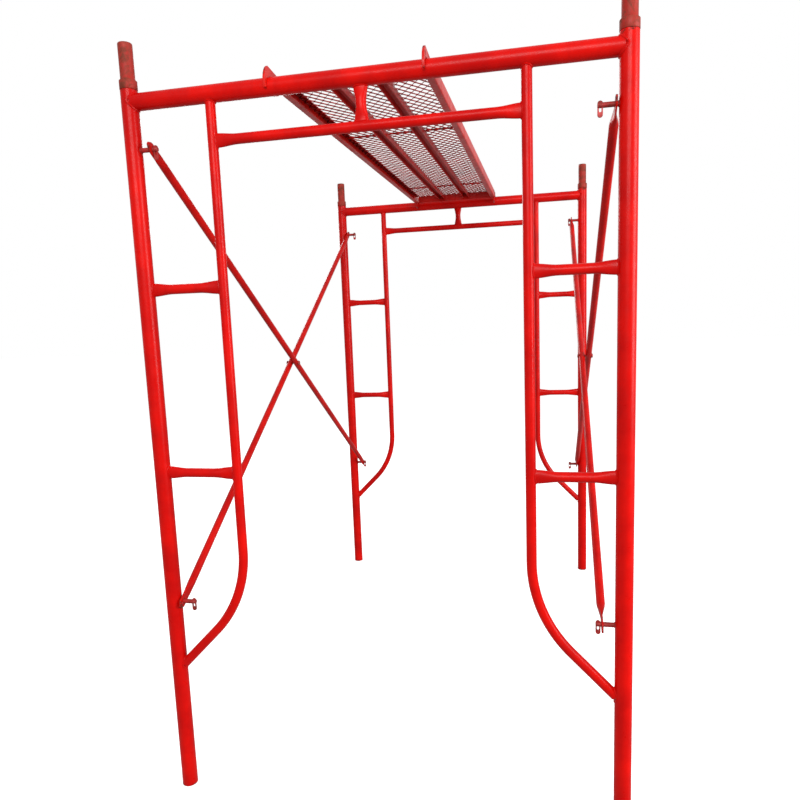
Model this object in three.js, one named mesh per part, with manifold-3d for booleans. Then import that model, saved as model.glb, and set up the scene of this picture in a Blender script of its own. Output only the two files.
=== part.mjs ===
// Frame scaffold section: two walk-through frames joined by two pairs of cross braces, with a
// hooked catwalk lying on their headers. Millimetres: +X across the frames, +Y from the front
// frame to the rear one, +Z up. The origin is at the bottom centre of the standing section.
import * as THREE from "three";
import { mergeVertices } from "three/addons/utils/BufferGeometryUtils.js";
import Module from "manifold-3d";

const wasm = await Module();
wasm.setup();

// Clearance between pieces that touch.
const GAP = 0.3;

// Frame: spacing of the leg axes, spacing of the two frames, and the tube sections.
const FRAME_WIDTH = 1219;
const BAY_LENGTH = 1829;
const LEG_LENGTH = 1930;
const MAIN_RADIUS = 21.35;
const MAIN_WALL = 2.4;
const THIN_RADIUS = 12.7;
const THIN_WALL = 2;
const MAIN_SIDES = 16;
const THIN_SIDES = 12;
const SMALL_SIDES = 8;
const HEADER_HEIGHT = 1900;
const LOWER_HEADER_HEIGHT = 1788;
const RUNG_HEIGHTS = { upper: 1428, lower: 935 };

// Ends of the rungs, lower headers and centre posts are pressed: deeper in the frame's plane and
// thinner across it. A header's ends stop short of the leg's axis.
const PRESS_DEEPER = 1.37;
const PRESS_THINNER = 0.6;
const PRESS_LENGTH = { rung: 55, post: 34 };
const HEADER_END_SETBACK = 12.5;

// Inner tube: vertical below the header, then one bend, then straight to the leg.
const INNER_TUBE_X = 388;
const BEND_RADIUS = 330;
const BEND_ANGLE = Math.PI / 4;
const BEND_STEPS = 6;
const INNER_TUBE_FOOT_HEIGHT = 357.5;

// Studs on the legs that carry the cross braces, each ending in a fork with a swinging lock.
const STUD_HEIGHTS = { upper: 1782, lower: 563 };
const STUD_RADIUS = 6;
const STUD_REACH = 67.5;
const LOCK_PIVOT_REACH = 61.5;
const LOCK_PIN_RADIUS = 2.5;
const LOCK_PIN_HALF_LENGTH = 6.6;
const LOCK_HALF_WIDTH = 6;
const LOCK_ABOVE_PIVOT = 10;
const LOCK_BELOW_PIVOT = 26;
const LOCK_THICKNESS = 4;
const LOCK_SLOT_LENGTH = 12;
const FORK_CLEARANCE = 1.5;

// Coupling pins in the leg tops.
const PIN_RADIUS = 18;
const PIN_WALL = 2.5;
const PIN_DEPTH = 95;
const PIN_COLLAR_RADIUS = 22;
const PIN_COLLAR_HEIGHT = 23;
const PIN_SPIGOT_HEIGHT = 89;

// Cross braces: tubes with flattened, drilled ends, riveted together where they cross.
const BRACE_RADIUS = 10.85;
const BRACE_WALL = 1.8;
const BRACE_REACH = { outer: 27.5, inner: 51.5 };
const EYE_THICKNESS = 4;
const EYE_HALF_WIDTH = 14.5;
const EYE_HOLE_RADIUS = 7;
const EYE_TIP = 22;
const EYE_TIP_HALF_WIDTH = 6;
const EYE_CORNER_HALF_WIDTH = 11.5;
const EYE_FLAT_LENGTH = 24;
const EYE_PLATE_LENGTH = 56;
const BRACE_TUBE_SETBACK = 40;
const RIVET_RADIUS = 4;
const RIVET_HOLE_RADIUS = 4.6;
const RIVET_HEAD_RADIUS = 9;
const RIVET_CROWN_RADIUS = 5.4;
const RIVET_HEAD_HEIGHT = 5;

// Catwalk: two channel rails, two stiffeners, end plates, an expanded-metal deck and four hooks.
const CATWALK_CENTRE_X = -22;
const CATWALK_SKEW = 0.0145;
const CATWALK_HALF_WIDTH = 200;
const RAIL_BOTTOM = 1908;
const RAIL_HEIGHT = 35;
const RAIL_FLANGE = 20;
const RAIL_WALL = 2.5;
const RAIL_SETBACK = 59.5;
const STIFFENER_X = 60.5;
const STIFFENER_WIDTH = 29;
const STIFFENER_BOTTOM = 1917;
const END_PLATE_THICKNESS = 4;
const DECK_THICKNESS = 2;
const DECK_COLUMNS = 3;
const DECK_ROWS = 12;
const DECK_STRAND = 9;
const DECK_ROD_STATIONS = [-292, 622];
const DECK_ROD_RADIUS = 3;
const HOOK_THICKNESS = 6;
const HOOK_SLOT_RADIUS = 25;
const HOOK_SLOT_DROP = 1.6;
const HOOK_PEAK = { reach: 12, height: 46 };
const HOOK_SHOULDER_HEIGHT = 32;
const HOOK_NOSE = { reach: 34, height: 4 };
const HOOK_TIP = { reach: 31, height: -8 };
const HOOK_HEEL = { reach: -30, height: -12 };
const HOOK_THROAT = { reach: -51, height: -5 };
const HOOK_TAIL = 120;

const HALF_WIDTH = FRAME_WIDTH / 2;
const HALF_BAY = BAY_LENGTH / 2;
const UP = new THREE.Vector3(0, 0, 1);
const ACROSS = new THREE.Vector3(1, 0, 0);
const ALONG = new THREE.Vector3(0, 1, 0);

// Turns that lay a shape drawn in the XY plane, and its extrusion along Z, into another plane.
const INTO_YZ = new THREE.Matrix4().makeBasis(ALONG, UP, ACROSS);
const INTO_XZ = new THREE.Matrix4().makeBasis(ACROSS, UP, ALONG.clone().negate());

const paint = { color: 0xc8140c, roughness: 0.35, metalness: 0 };
const worn = { color: 0x7c3228, roughness: 0.6, metalness: 0.2 };
const steel = { color: 0x8f3a34, roughness: 0.5, metalness: 0.3 };

// ---- solids -------------------------------------------------------------------------------

function solidFrom(geometry) {
  const bare = geometry.clone();
  bare.deleteAttribute("normal");
  bare.deleteAttribute("uv");
  const merged = mergeVertices(bare, 1e-4);
  const triangles = [];
  for (let i = 0; i < merged.index.count; i += 3) {
    const [a, b, c] = [0, 1, 2].map((k) => merged.index.getX(i + k));
    if (a !== b && b !== c && c !== a) triangles.push(a, b, c);
  }
  return new wasm.Manifold(
    new wasm.Mesh({
      numProp: 3,
      vertProperties: new Float32Array(merged.attributes.position.array),
      triVerts: new Uint32Array(triangles),
    }),
  );
}

function geometryFrom(solid) {
  const mesh = solid.getMesh();
  const geometry = new THREE.BufferGeometry();
  geometry.setAttribute("position", new THREE.BufferAttribute(mesh.vertProperties, 3));
  geometry.setIndex(new THREE.BufferAttribute(mesh.triVerts, 1));
  const faceted = geometry.toNonIndexed();
  faceted.computeVertexNormals();
  return faceted;
}

// Cuts and joins are given as geometries; the result is a geometry again.
function shaped(base, { cut = [], join = [] }) {
  let solid = solidFrom(base);
  for (const piece of join) solid = solid.add(solidFrom(piece));
  for (const piece of cut) solid = solid.subtract(solidFrom(piece));
  return geometryFrom(solid);
}

// ---- basic forms, each standing on z = 0 ----------------------------------------------------

function revolved(profile, sides) {
  const points = profile.map(([radius, height]) => new THREE.Vector2(radius, height));
  return new THREE.LatheGeometry(points, sides).rotateX(Math.PI / 2);
}

function tube(radius, wall, length, sides) {
  const bore = radius - wall;
  return revolved([[bore, 0], [radius, 0], [radius, length], [bore, length], [bore, 0]], sides);
}

// A thin tube with its ends pressed; seats are the radii of the tubes that its ends meet. The
// pressed ends are deeper along x and thinner along y.
function pressedTube(length, seats, pressLength) {
  const far = length - seats[1];
  const stations = [
    [0, 1],
    [seats[0], 1],
    [seats[0] + pressLength / 2, 0.5],
    [seats[0] + pressLength, 0],
    [far - pressLength, 0],
    [far - pressLength / 2, 0.5],
    [far, 1],
    [length, 1],
  ];
  const bore = THIN_RADIUS - THIN_WALL;
  const outside = stations.map(([height]) => [THIN_RADIUS, height]);
  const inside = stations.map(([height]) => [bore, height]).reverse();
  const geometry = revolved([[bore, 0], ...outside, ...inside], THIN_SIDES);
  const points = geometry.attributes.position;
  for (let i = 0; i < points.count; i++) {
    const height = points.getZ(i);
    const [, press] = stations.find(([at]) => Math.abs(at - height) < GAP);
    points.setX(i, points.getX(i) * THREE.MathUtils.lerp(1, PRESS_DEEPER, press));
    points.setY(i, points.getY(i) * THREE.MathUtils.lerp(1, PRESS_THINNER, press));
  }
  return geometry;
}

function bar(radius, length, sides) {
  return new THREE.CylinderGeometry(radius, radius, length, sides)
    .rotateX(Math.PI / 2)
    .translate(0, 0, length / 2);
}

function extruded(shape, thickness, plane, curveSegments = 4) {
  return new THREE.ExtrudeGeometry(shape, { depth: thickness, bevelEnabled: false, curveSegments })
    .translate(0, 0, -thickness / 2)
    .applyMatrix4(plane);
}

function polygon(points) {
  return new THREE.Shape(points.map(([x, y]) => new THREE.Vector2(x, y)));
}

// A round-ended slot outline between two heights on the line x = 0.
function capsule(path, halfWidth, low, high) {
  path.moveTo(halfWidth, low);
  path.lineTo(halfWidth, high);
  path.absarc(0, high, halfWidth, 0, Math.PI, false);
  path.lineTo(-halfWidth, low);
  path.absarc(0, low, halfWidth, Math.PI, 2 * Math.PI, false);
  return path;
}

// Cutters that let a tube end fit round a neighbour, with the gap between them.
function legCutter() {
  return bar(MAIN_RADIUS + GAP, LEG_LENGTH, MAIN_SIDES).translate(HALF_WIDTH, 0, 0);
}

function innerTubeCutter() {
  return bar(THIN_RADIUS + GAP, HEADER_HEIGHT, THIN_SIDES).translate(INNER_TUBE_X, 0, 0);
}

function lengthwise(geometry, length, height) {
  return geometry.translate(0, 0, -length / 2).rotateY(Math.PI / 2).translate(0, 0, height);
}

function headerCutter() {
  return lengthwise(bar(MAIN_RADIUS + GAP, FRAME_WIDTH, MAIN_SIDES), FRAME_WIDTH, HEADER_HEIGHT);
}

function lowerHeaderCutter() {
  const solid = bar(THIN_RADIUS + GAP, FRAME_WIDTH, THIN_SIDES);
  return lengthwise(solid, FRAME_WIDTH, LOWER_HEADER_HEIGHT);
}

// ---- frame pieces, drawn in the frame's own plane (y = 0), side pieces on the +X side --------

function leg() {
  return tube(MAIN_RADIUS, MAIN_WALL, LEG_LENGTH, MAIN_SIDES).translate(HALF_WIDTH, 0, 0);
}

function header() {
  const length = FRAME_WIDTH - 2 * HEADER_END_SETBACK;
  const whole = lengthwise(tube(MAIN_RADIUS, MAIN_WALL, length, MAIN_SIDES), length, HEADER_HEIGHT);
  return shaped(whole, { cut: [legCutter(), legCutter().rotateZ(Math.PI)] });
}

function lowerHeader() {
  const length = 2 * INNER_TUBE_X;
  const pressed = pressedTube(length, [THIN_RADIUS, THIN_RADIUS], PRESS_LENGTH.rung);
  const whole = lengthwise(pressed, length, LOWER_HEADER_HEIGHT);
  return shaped(whole, { cut: [innerTubeCutter(), innerTubeCutter().rotateZ(Math.PI)] });
}

function centrePost() {
  const height = HEADER_HEIGHT - LOWER_HEADER_HEIGHT;
  const whole = pressedTube(height, [THIN_RADIUS, MAIN_RADIUS], PRESS_LENGTH.post)
    .translate(0, 0, LOWER_HEADER_HEIGHT);
  return shaped(whole, { cut: [headerCutter(), lowerHeaderCutter()] });
}

// The axis of an inner tube from the header down to the leg. The parameter gives one step to
// each straight run and the rest to the bend.
class InnerTubeAxis extends THREE.Curve {
  constructor() {
    super();
    const cornerHeight = HALF_WIDTH + INNER_TUBE_FOOT_HEIGHT - INNER_TUBE_X;
    const tangent = BEND_RADIUS * Math.tan(BEND_ANGLE / 2);
    this.top = new THREE.Vector3(INNER_TUBE_X, 0, HEADER_HEIGHT);
    this.centre = new THREE.Vector3(INNER_TUBE_X + BEND_RADIUS, 0, cornerHeight + tangent);
    this.foot = new THREE.Vector3(HALF_WIDTH, 0, INNER_TUBE_FOOT_HEIGHT);
  }
  getUtoTmapping(u) {
    return u;
  }
  onBend(turn) {
    const offset = new THREE.Vector3(-Math.cos(turn), 0, -Math.sin(turn));
    return this.centre.clone().addScaledVector(offset, BEND_RADIUS);
  }
  getPoint(t) {
    const step = t * (BEND_STEPS + 2);
    if (step <= 1) return this.top.clone().lerp(this.onBend(0), step);
    if (step >= BEND_STEPS + 1) return this.onBend(BEND_ANGLE).lerp(this.foot, step - BEND_STEPS - 1);
    return this.onBend((BEND_ANGLE * (step - 1)) / BEND_STEPS);
  }
}

function innerTube() {
  const section = new THREE.Shape().absarc(0, 0, THIN_RADIUS, 0, 2 * Math.PI, false);
  section.holes.push(new THREE.Path().absarc(0, 0, THIN_RADIUS - THIN_WALL, 0, 2 * Math.PI, true));
  const whole = new THREE.ExtrudeGeometry(section, {
    steps: BEND_STEPS + 2,
    curveSegments: THIN_SIDES / 2,
    extrudePath: new InnerTubeAxis(),
  });
  return shaped(whole, { cut: [headerCutter(), legCutter()] });
}

function rung(height) {
  const length = HALF_WIDTH - INNER_TUBE_X;
  const whole = pressedTube(length, [THIN_RADIUS, MAIN_RADIUS], PRESS_LENGTH.rung)
    .rotateY(Math.PI / 2)
    .translate(INNER_TUBE_X, 0, height);
  return shaped(whole, { cut: [legCutter(), innerTubeCutter()] });
}

// A stud runs from the leg towards the walkway; its end is forked round the lock, and the lock's
// pin is peened across the fork, so it is one piece with it.
function stud(height) {
  const slotRoot = LOCK_PIVOT_REACH - LOCK_ABOVE_PIVOT - FORK_CLEARANCE;
  const slotLength = STUD_REACH - slotRoot + FORK_CLEARANCE;
  const slot = new THREE.BoxGeometry(slotLength, LOCK_THICKNESS + 2 * GAP, 3 * STUD_RADIUS)
    .translate(HALF_WIDTH - slotRoot - slotLength / 2, 0, height);
  const pin = bar(LOCK_PIN_RADIUS, 2 * LOCK_PIN_HALF_LENGTH, SMALL_SIDES)
    .translate(0, 0, -LOCK_PIN_HALF_LENGTH)
    .rotateX(Math.PI / 2)
    .translate(HALF_WIDTH - LOCK_PIVOT_REACH, 0, height);
  const shank = bar(STUD_RADIUS, STUD_REACH, THIN_SIDES)
    .rotateY(-Math.PI / 2)
    .translate(HALF_WIDTH, 0, height);
  const forked = shaped(shank, { cut: [legCutter(), slot] });
  return shaped(forked, { join: [pin] });
}

function lock(height) {
  const low = LOCK_HALF_WIDTH - LOCK_BELOW_PIVOT;
  const high = LOCK_ABOVE_PIVOT - LOCK_HALF_WIDTH;
  const outline = capsule(new THREE.Shape(), LOCK_HALF_WIDTH, low, high);
  outline.holes.push(capsule(new THREE.Path(), LOCK_PIN_RADIUS + GAP, -LOCK_SLOT_LENGTH, 0));
  return extruded(outline, LOCK_THICKNESS, INTO_XZ)
    .translate(HALF_WIDTH - LOCK_PIVOT_REACH, 0, height);
}

// The pin's collar rests on the leg's end; the spigot above it takes the next frame.
function couplingPin() {
  const bore = PIN_RADIUS - PIN_WALL;
  const seat = LEG_LENGTH + GAP;
  const collarTop = seat + PIN_COLLAR_HEIGHT;
  const profile = [
    [bore, seat - PIN_DEPTH],
    [PIN_RADIUS, seat - PIN_DEPTH],
    [PIN_RADIUS, seat],
    [PIN_COLLAR_RADIUS, seat],
    [PIN_COLLAR_RADIUS, collarTop],
    [PIN_RADIUS, collarTop],
    [PIN_RADIUS, collarTop + PIN_SPIGOT_HEIGHT],
    [bore, collarTop + PIN_SPIGOT_HEIGHT],
    [bore, seat - PIN_DEPTH],
  ];
  return revolved(profile, MAIN_SIDES).translate(HALF_WIDTH, 0, 0);
}

// ---- cross braces, drawn on the +X side ------------------------------------------------------

const BRACE_LENGTH = Math.hypot(BAY_LENGTH, STUD_HEIGHTS.upper - STUD_HEIGHTS.lower);
const BRACE_SLOPE = Math.atan2(STUD_HEIGHTS.upper - STUD_HEIGHTS.lower, BAY_LENGTH);
const CROSSING_HEIGHT = (STUD_HEIGHTS.upper + STUD_HEIGHTS.lower) / 2;

// One flattened end, its hole at the origin and its tip towards -Y.
function eyePlate() {
  const tailHalfWidth = BRACE_RADIUS - BRACE_WALL / 2;
  const half = [
    [-EYE_TIP, EYE_TIP_HALF_WIDTH],
    [EYE_TIP_HALF_WIDTH - EYE_TIP, EYE_CORNER_HALF_WIDTH],
    [-EYE_TIP / 3, EYE_HALF_WIDTH],
    [EYE_FLAT_LENGTH, EYE_HALF_WIDTH],
    [EYE_PLATE_LENGTH, tailHalfWidth],
  ];
  const outline = polygon([...half.map(([y, z]) => [y, -z]), ...half.reverse()]);
  outline.holes.push(new THREE.Path().absarc(0, 0, EYE_HOLE_RADIUS, 0, 2 * Math.PI, true));
  return extruded(outline, EYE_THICKNESS, INTO_YZ, THIN_SIDES / 2);
}

function brace(reach, rising) {
  const tubeLength = BRACE_LENGTH - 2 * BRACE_TUBE_SETBACK;
  const whole = tube(BRACE_RADIUS, BRACE_WALL, tubeLength, THIN_SIDES)
    .translate(0, 0, -tubeLength / 2)
    .rotateX(Math.PI / 2);
  const nearEye = eyePlate().translate(0, -BRACE_LENGTH / 2, 0);
  const farEye = nearEye.clone().rotateZ(Math.PI);
  const rivetHole = bar(RIVET_HOLE_RADIUS, 4 * BRACE_RADIUS, THIN_SIDES)
    .translate(0, 0, -2 * BRACE_RADIUS)
    .rotateY(Math.PI / 2);
  return shaped(whole, { join: [nearEye, farEye], cut: [rivetHole] })
    .rotateX(rising ? BRACE_SLOPE : -BRACE_SLOPE)
    .translate(HALF_WIDTH - reach, 0, CROSSING_HEIGHT);
}

function rivet() {
  const grip = BRACE_REACH.inner - BRACE_REACH.outer + 2 * (BRACE_RADIUS + GAP);
  const profile = [
    [0, -RIVET_HEAD_HEIGHT],
    [RIVET_CROWN_RADIUS, -RIVET_HEAD_HEIGHT],
    [RIVET_HEAD_RADIUS, -RIVET_HEAD_HEIGHT / 3],
    [RIVET_HEAD_RADIUS, 0],
    [RIVET_RADIUS, 0],
    [RIVET_RADIUS, grip],
    [RIVET_HEAD_RADIUS, grip],
    [RIVET_HEAD_RADIUS, grip + RIVET_HEAD_HEIGHT / 3],
    [RIVET_CROWN_RADIUS, grip + RIVET_HEAD_HEIGHT],
    [0, grip + RIVET_HEAD_HEIGHT],
  ];
  const outerFace = HALF_WIDTH - BRACE_REACH.outer + BRACE_RADIUS + GAP;
  return revolved(profile, SMALL_SIDES).rotateY(-Math.PI / 2).translate(outerFace, 0, CROSSING_HEIGHT);
}

// ---- catwalk, drawn about its own centre line; side and end pieces at +X and at the front ----

const RAIL_TOP = RAIL_BOTTOM + RAIL_HEIGHT;
const RAIL_HALF_LENGTH = HALF_BAY - RAIL_SETBACK;
const DECK_TOP = RAIL_TOP - RAIL_WALL - GAP;
const DECK_BOTTOM = DECK_TOP - DECK_THICKNESS;
const FLANGE_TIP = CATWALK_HALF_WIDTH - RAIL_FLANGE;

function sideRail() {
  const web = CATWALK_HALF_WIDTH - RAIL_WALL;
  const outline = polygon([
    [FLANGE_TIP, RAIL_BOTTOM],
    [CATWALK_HALF_WIDTH, RAIL_BOTTOM],
    [CATWALK_HALF_WIDTH, RAIL_TOP],
    [FLANGE_TIP, RAIL_TOP],
    [FLANGE_TIP, RAIL_TOP - RAIL_WALL],
    [web, RAIL_TOP - RAIL_WALL],
    [web, RAIL_BOTTOM + RAIL_WALL],
    [FLANGE_TIP, RAIL_BOTTOM + RAIL_WALL],
  ]);
  return extruded(outline, 2 * RAIL_HALF_LENGTH, INTO_XZ);
}

// An inverted channel under the deck, its two legs pointing down.
function stiffener() {
  const top = DECK_BOTTOM - GAP;
  const half = STIFFENER_WIDTH / 2;
  const bore = half - RAIL_WALL;
  const outline = polygon([
    [-half, STIFFENER_BOTTOM],
    [-bore, STIFFENER_BOTTOM],
    [-bore, top - RAIL_WALL],
    [bore, top - RAIL_WALL],
    [bore, STIFFENER_BOTTOM],
    [half, STIFFENER_BOTTOM],
    [half, top],
    [-half, top],
  ]);
  const length = 2 * (RAIL_HALF_LENGTH - END_PLATE_THICKNESS - GAP);
  return extruded(outline, length, INTO_XZ).translate(STIFFENER_X, 0, 0);
}

function endPlate() {
  const height = DECK_BOTTOM - GAP - RAIL_BOTTOM;
  const width = 2 * (FLANGE_TIP - GAP);
  return new THREE.BoxGeometry(width, END_PLATE_THICKNESS, height).translate(
    0,
    END_PLATE_THICKNESS / 2 - RAIL_HALF_LENGTH,
    RAIL_BOTTOM + height / 2,
  );
}

// The deck is drawn as a coarse sheet of diamonds between its edges, with the cross rods that
// are welded under it from rail to stiffener and from stiffener to stiffener.
function deck() {
  const halfWidth = CATWALK_HALF_WIDTH - RAIL_WALL - GAP;
  const sheet = polygon([
    [-halfWidth, -RAIL_HALF_LENGTH],
    [halfWidth, -RAIL_HALF_LENGTH],
    [halfWidth, RAIL_HALF_LENGTH],
    [-halfWidth, RAIL_HALF_LENGTH],
  ]);
  const columnPitch = 2 * STIFFENER_X;
  const rowPitch = (2 * RAIL_HALF_LENGTH) / DECK_ROWS;
  for (let column = 0; column < DECK_COLUMNS; column++) {
    for (let row = 0; row < DECK_ROWS; row++) {
      const x = (column - (DECK_COLUMNS - 1) / 2) * columnPitch;
      const y = (row - (DECK_ROWS - 1) / 2) * rowPitch;
      const dx = columnPitch / 2 - DECK_STRAND;
      const dy = rowPitch / 2 - DECK_STRAND;
      sheet.holes.push(polygon([[x - dx, y], [x, y + dy], [x + dx, y], [x, y - dy]]));
    }
  }
  const plate = new THREE.ExtrudeGeometry(sheet, { depth: DECK_THICKNESS, bevelEnabled: false })
    .translate(0, 0, DECK_BOTTOM);
  const rods = [];
  const edges = [-halfWidth, -STIFFENER_X, STIFFENER_X, halfWidth];
  for (const y of DECK_ROD_STATIONS) {
    for (let bay = 0; bay < DECK_COLUMNS; bay++) {
      const inset = STIFFENER_WIDTH / 2 + GAP;
      const from = edges[bay] + (bay > 0 ? inset : 0);
      const to = edges[bay + 1] - (bay < DECK_COLUMNS - 1 ? inset : 0);
      const height = DECK_BOTTOM - DECK_ROD_RADIUS + GAP;
      const rod = bar(DECK_ROD_RADIUS, to - from, SMALL_SIDES).rotateY(Math.PI / 2);
      rods.push(rod.translate(from, y, height));
    }
  }
  return shaped(plate, { join: rods });
}

// A flat plate that passes over the header, with its nose in front of it and its tail inside the
// rail's channel. The outline's first axis points along the catwalk, out past the header.
function hook() {
  const tailTop = DECK_BOTTOM - GAP - HEADER_HEIGHT;
  const tailBottom = RAIL_BOTTOM + RAIL_WALL + GAP - HEADER_HEIGHT;
  const railEnd = 2 * GAP - RAIL_SETBACK;
  const outline = new THREE.Shape();
  outline.moveTo(HOOK_SLOT_RADIUS, HOOK_TIP.height);
  outline.lineTo(HOOK_TIP.reach, HOOK_TIP.height);
  outline.lineTo(HOOK_NOSE.reach, HOOK_NOSE.height);
  outline.quadraticCurveTo(HOOK_NOSE.reach, HOOK_SHOULDER_HEIGHT, HOOK_PEAK.reach, HOOK_PEAK.height);
  outline.lineTo(railEnd, tailTop);
  outline.lineTo(-HOOK_TAIL, tailTop);
  outline.lineTo(-HOOK_TAIL, tailBottom);
  outline.lineTo(railEnd, tailBottom);
  outline.lineTo(HOOK_THROAT.reach, HOOK_THROAT.height);
  outline.lineTo(HOOK_HEEL.reach, HOOK_HEEL.height);
  outline.lineTo(-HOOK_SLOT_RADIUS, HOOK_HEEL.height);
  outline.lineTo(-HOOK_SLOT_RADIUS, -HOOK_SLOT_DROP);
  outline.absarc(0, -HOOK_SLOT_DROP, HOOK_SLOT_RADIUS, Math.PI, 0, true);
  const inset = RAIL_WALL + GAP + HOOK_THICKNESS / 2;
  return extruded(outline, HOOK_THICKNESS, INTO_YZ, 6)
    .rotateZ(Math.PI)
    .translate(CATWALK_HALF_WIDTH - inset, -HALF_BAY, HEADER_HEIGHT);
}

// ---- assembly -------------------------------------------------------------------------------

function part(name, geometry, finish) {
  const mesh = new THREE.Mesh(geometry, new THREE.MeshStandardMaterial(finish));
  mesh.name = name;
  return mesh;
}

function turned(group, halfTurn) {
  group.rotation.z = halfTurn ? Math.PI : 0;
  return group;
}

function frameSide(label) {
  const side = new THREE.Group();
  side.add(part(`${label}_leg`, leg(), paint));
  side.add(part(`${label}_inner_tube`, innerTube(), paint));
  side.add(part(`${label}_coupling_pin`, couplingPin(), worn));
  for (const level of ["upper", "lower"]) {
    side.add(part(`${label}_${level}_rung`, rung(RUNG_HEIGHTS[level]), paint));
    side.add(part(`${label}_${level}_stud`, stud(STUD_HEIGHTS[level]), steel));
    side.add(part(`${label}_${level}_lock`, lock(STUD_HEIGHTS[level]), steel));
  }
  return side;
}

function walkThroughFrame(label) {
  const frame = new THREE.Group();
  frame.add(part(`${label}_header`, header(), paint));
  frame.add(part(`${label}_lower_header`, lowerHeader(), paint));
  frame.add(part(`${label}_centre_post`, centrePost(), paint));
  frame.add(frameSide(`${label}_right`));
  frame.add(turned(frameSide(`${label}_left`), true));
  return frame;
}

// The pair on the -X side is the same pair turned half round.
function bracePair(label) {
  const pair = new THREE.Group();
  pair.add(part(`${label}_outer_brace`, brace(BRACE_REACH.outer, false), paint));
  pair.add(part(`${label}_inner_brace`, brace(BRACE_REACH.inner, true), paint));
  pair.add(part(`${label}_brace_rivet`, rivet(), steel));
  return pair;
}

function catwalk() {
  const whole = new THREE.Group();
  for (const side of ["right", "left"]) {
    const half = turned(new THREE.Group(), side === "left");
    half.add(part(`catwalk_${side}_rail`, sideRail(), paint));
    half.add(part(`catwalk_${side}_stiffener`, stiffener(), paint));
    half.add(part(`catwalk_${side === "right" ? "front" : "rear"}_end_plate`, endPlate(), paint));
    whole.add(half);
  }
  for (const end of ["front", "rear"]) {
    const sides = end === "front" ? ["right", "left"] : ["left", "right"];
    const pair = turned(new THREE.Group(), end === "rear");
    const offset = 2 * CATWALK_HALF_WIDTH - 2 * (RAIL_WALL + GAP) - HOOK_THICKNESS;
    pair.add(part(`catwalk_${end}_${sides[0]}_hook`, hook(), paint));
    pair.add(part(`catwalk_${end}_${sides[1]}_hook`, hook().translate(-offset, 0, 0), paint));
    whole.add(pair);
  }
  whole.add(part("catwalk_deck", deck(), paint));
  whole.position.x = CATWALK_CENTRE_X;
  whole.rotation.z = -CATWALK_SKEW;
  return whole;
}

const scaffold = new THREE.Group();
for (const [label, place] of [["front", -HALF_BAY], ["rear", HALF_BAY]]) {
  const frame = walkThroughFrame(label);
  frame.position.y = place;
  scaffold.add(frame);
}
scaffold.add(bracePair("right"));
scaffold.add(turned(bracePair("left"), true));
scaffold.add(catwalk());

export default scaffold;
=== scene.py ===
import math
import random

import bmesh
import bpy
from mathutils import Matrix, Vector


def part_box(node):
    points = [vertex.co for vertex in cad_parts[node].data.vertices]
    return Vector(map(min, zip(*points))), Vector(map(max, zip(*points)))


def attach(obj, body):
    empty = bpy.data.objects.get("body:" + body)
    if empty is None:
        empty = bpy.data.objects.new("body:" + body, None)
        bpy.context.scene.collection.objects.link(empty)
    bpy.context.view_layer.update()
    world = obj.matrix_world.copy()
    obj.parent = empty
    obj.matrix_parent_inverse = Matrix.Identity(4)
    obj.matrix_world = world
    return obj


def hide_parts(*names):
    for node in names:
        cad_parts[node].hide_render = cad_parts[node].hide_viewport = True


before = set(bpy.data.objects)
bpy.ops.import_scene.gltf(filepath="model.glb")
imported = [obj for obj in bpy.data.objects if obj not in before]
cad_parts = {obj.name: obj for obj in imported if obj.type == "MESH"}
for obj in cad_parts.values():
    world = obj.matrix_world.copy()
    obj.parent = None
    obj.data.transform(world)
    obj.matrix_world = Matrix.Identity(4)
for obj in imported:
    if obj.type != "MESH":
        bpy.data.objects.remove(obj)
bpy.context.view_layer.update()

MM = 0.001
X, Y, Z = Vector((1, 0, 0)), Vector((0, 1, 0)), Vector((0, 0, 1))
ROOT = "walk_through_frames"
ENDS = {"front": -1, "rear": 1}
SIDES = {"left": -1, "right": 1}
LEVELS = ("upper", "lower")

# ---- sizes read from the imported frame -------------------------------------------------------


def centre_of(node):
    low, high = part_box(node)
    return (Vector(low) + Vector(high)) / 2


def size_of(node):
    low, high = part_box(node)
    return Vector(high) - Vector(low)


LEG_X = centre_of("front_right_leg").x
FRAME_Y = centre_of("rear_right_leg").y
LEG_RADIUS = size_of("front_right_leg").x / 2
LEG_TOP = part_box("front_right_leg")[1][2]
HEADER_Z = centre_of("front_header").z
THIN_RADIUS = size_of("front_right_inner_tube").y / 2
INNER_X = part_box("front_right_inner_tube")[0][0] + THIN_RADIUS
LOWER_HEADER_Z = centre_of("front_lower_header").z
RUNG_Z = {level: centre_of(f"front_right_{level}_rung").z for level in LEVELS}
STUD_Z = {level: centre_of(f"front_right_{level}_stud").z for level in LEVELS}
STUD_RADIUS = size_of("front_right_upper_stud").z / 2
STUD_TIP_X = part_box("front_right_upper_stud")[0][0]
LOCK_X = centre_of("front_right_upper_lock").x
LOCK_HALF_WIDTH = size_of("front_right_upper_lock").x / 2
LOCK_THICKNESS = size_of("front_right_upper_lock").y
PIN_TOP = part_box("front_right_coupling_pin")[1][2]
PIN_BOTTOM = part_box("front_right_coupling_pin")[0][2]
PIN_COLLAR_RADIUS = size_of("front_right_coupling_pin").x / 2
BRACE_RADIUS = size_of("right_outer_brace").x / 2
BRACE_X = {reach: centre_of(f"right_{reach}_brace").x for reach in ("outer", "inner")}
CATWALK_X = centre_of("catwalk_deck").x
RAIL_LOW_Z, RAIL_HIGH_Z = (corner[2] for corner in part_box("catwalk_right_rail"))
DECK_HIGH_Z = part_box("catwalk_deck")[1][2]
STIFFENER_LOW_Z, STIFFENER_HIGH_Z = (corner[2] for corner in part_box("catwalk_right_stiffener"))

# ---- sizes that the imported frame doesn't give -------------------------------------------------

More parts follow.
